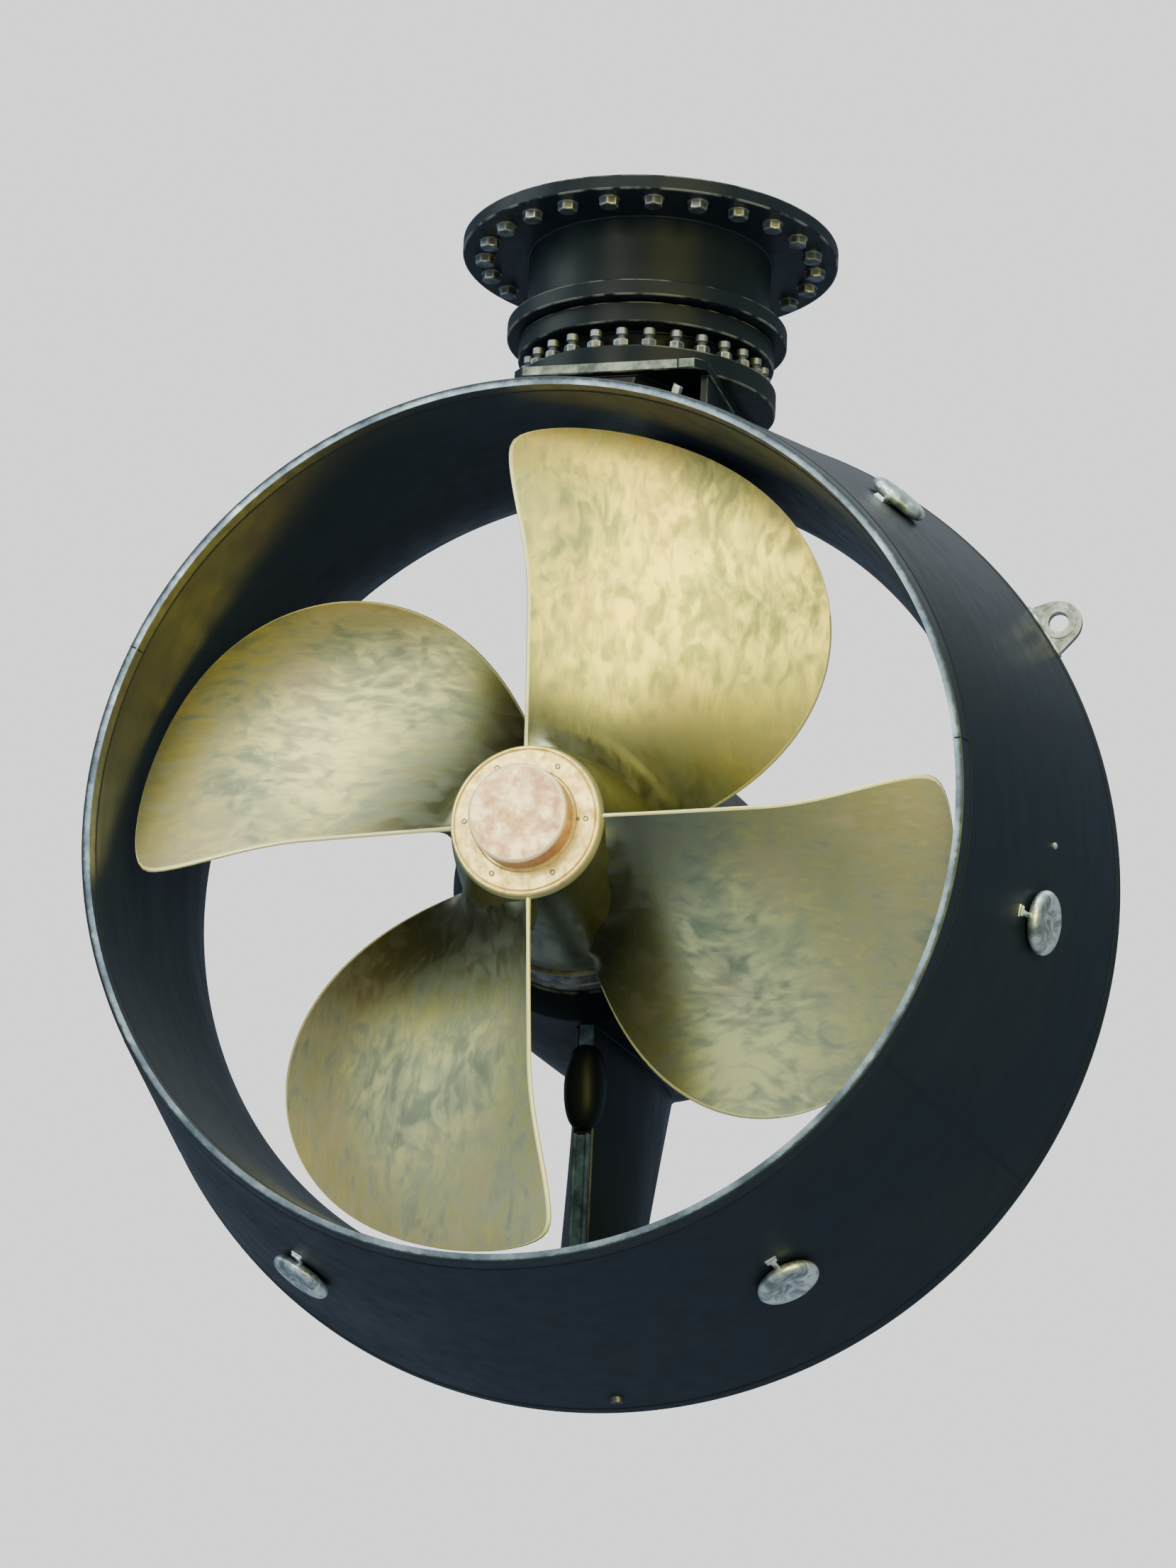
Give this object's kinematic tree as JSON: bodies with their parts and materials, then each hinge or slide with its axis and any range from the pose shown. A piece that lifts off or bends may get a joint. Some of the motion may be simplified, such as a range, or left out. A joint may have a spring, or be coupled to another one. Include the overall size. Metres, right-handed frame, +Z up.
{
  "type": "ship propeller",
  "caption": "Bronze ship propeller in a steel nozzle, hung on a streamlined leg that steers about an upright axis.",
  "frame": {"origin": "centre of the mounting flange's flat top face, on the steering axis", "axes": "+Z up along the steering axis, +Y forwards along the propeller's shaft, the nozzle's outlet faces -Y"},
  "size_m": [3.18, 2.28, 3.84],
  "materials": {
    "hull_paint": "glossy near-black navy underwater paint",
    "lip_steel": "bare bluish steel, worn bright",
    "bronze": "ground and polished bronze",
    "cap_bronze": "pale polished bronze",
    "disc_bronze": "copper-pink turned bronze",
    "zinc": "cast zinc, dull",
    "steel": "machined steel"
  },
  "bodies": {
    "root": {"mounting_flange": "hull_paint", "trunk_tube": "hull_paint", "trunk_seal_ring": "hull_paint"},
    "steering": {"steering_pipe": "steel", "steering_flange": "hull_paint", "stem_neck": "hull_paint", "leg_flange": "hull_paint", "leg_top_plate": "hull_paint", "leg_top_flare": "hull_paint", "leg": "hull_paint", "leg_bar_anode": "zinc", "gear_housing": "hull_paint", "housing_front_cover": "hull_paint", "seal_housing": "steel", "housing_fairing_block": "hull_paint", "strut": "hull_paint", "strut_boss": "hull_paint", "strut_bar_anode": "zinc", "nozzle_liner": "hull_paint", "nozzle_shell": "hull_paint", "nozzle_nose": "hull_paint", "nozzle_lip": "lip_steel", "nozzle_bracket_left": "hull_paint", "nozzle_bracket_right": "hull_paint", "nozzle_drain_plug": "steel", "nozzle_lifting_eye_left": "lip_steel", "nozzle_lifting_eye_right": "lip_steel", "nozzle_anode_1": "zinc", "nozzle_anode_2": "zinc", "nozzle_anode_3": "zinc", "nozzle_anode_4": "zinc", "nozzle_anode_5": "zinc", "nozzle_anode_6": "zinc"},
    "propeller": {"hub": "bronze", "hub_cap_ring": "cap_bronze", "hub_cap_disc": "disc_bronze", "propeller_shaft": "steel", "blade_1": "bronze", "blade_2": "bronze", "blade_3": "bronze", "blade_4": "bronze"}
  },
  "joints": [
    {"name": "azimuth_steering", "type": "hinge", "parent": "root", "child": "steering", "pos_m": [0, 0, 0], "axis": [0, 0, 1], "continuous": true},
    {"name": "propeller_spin", "type": "hinge", "parent": "steering", "child": "propeller", "pos_m": [0, -1, -2.25], "axis": [0, 1, 0], "continuous": true}
  ]
}
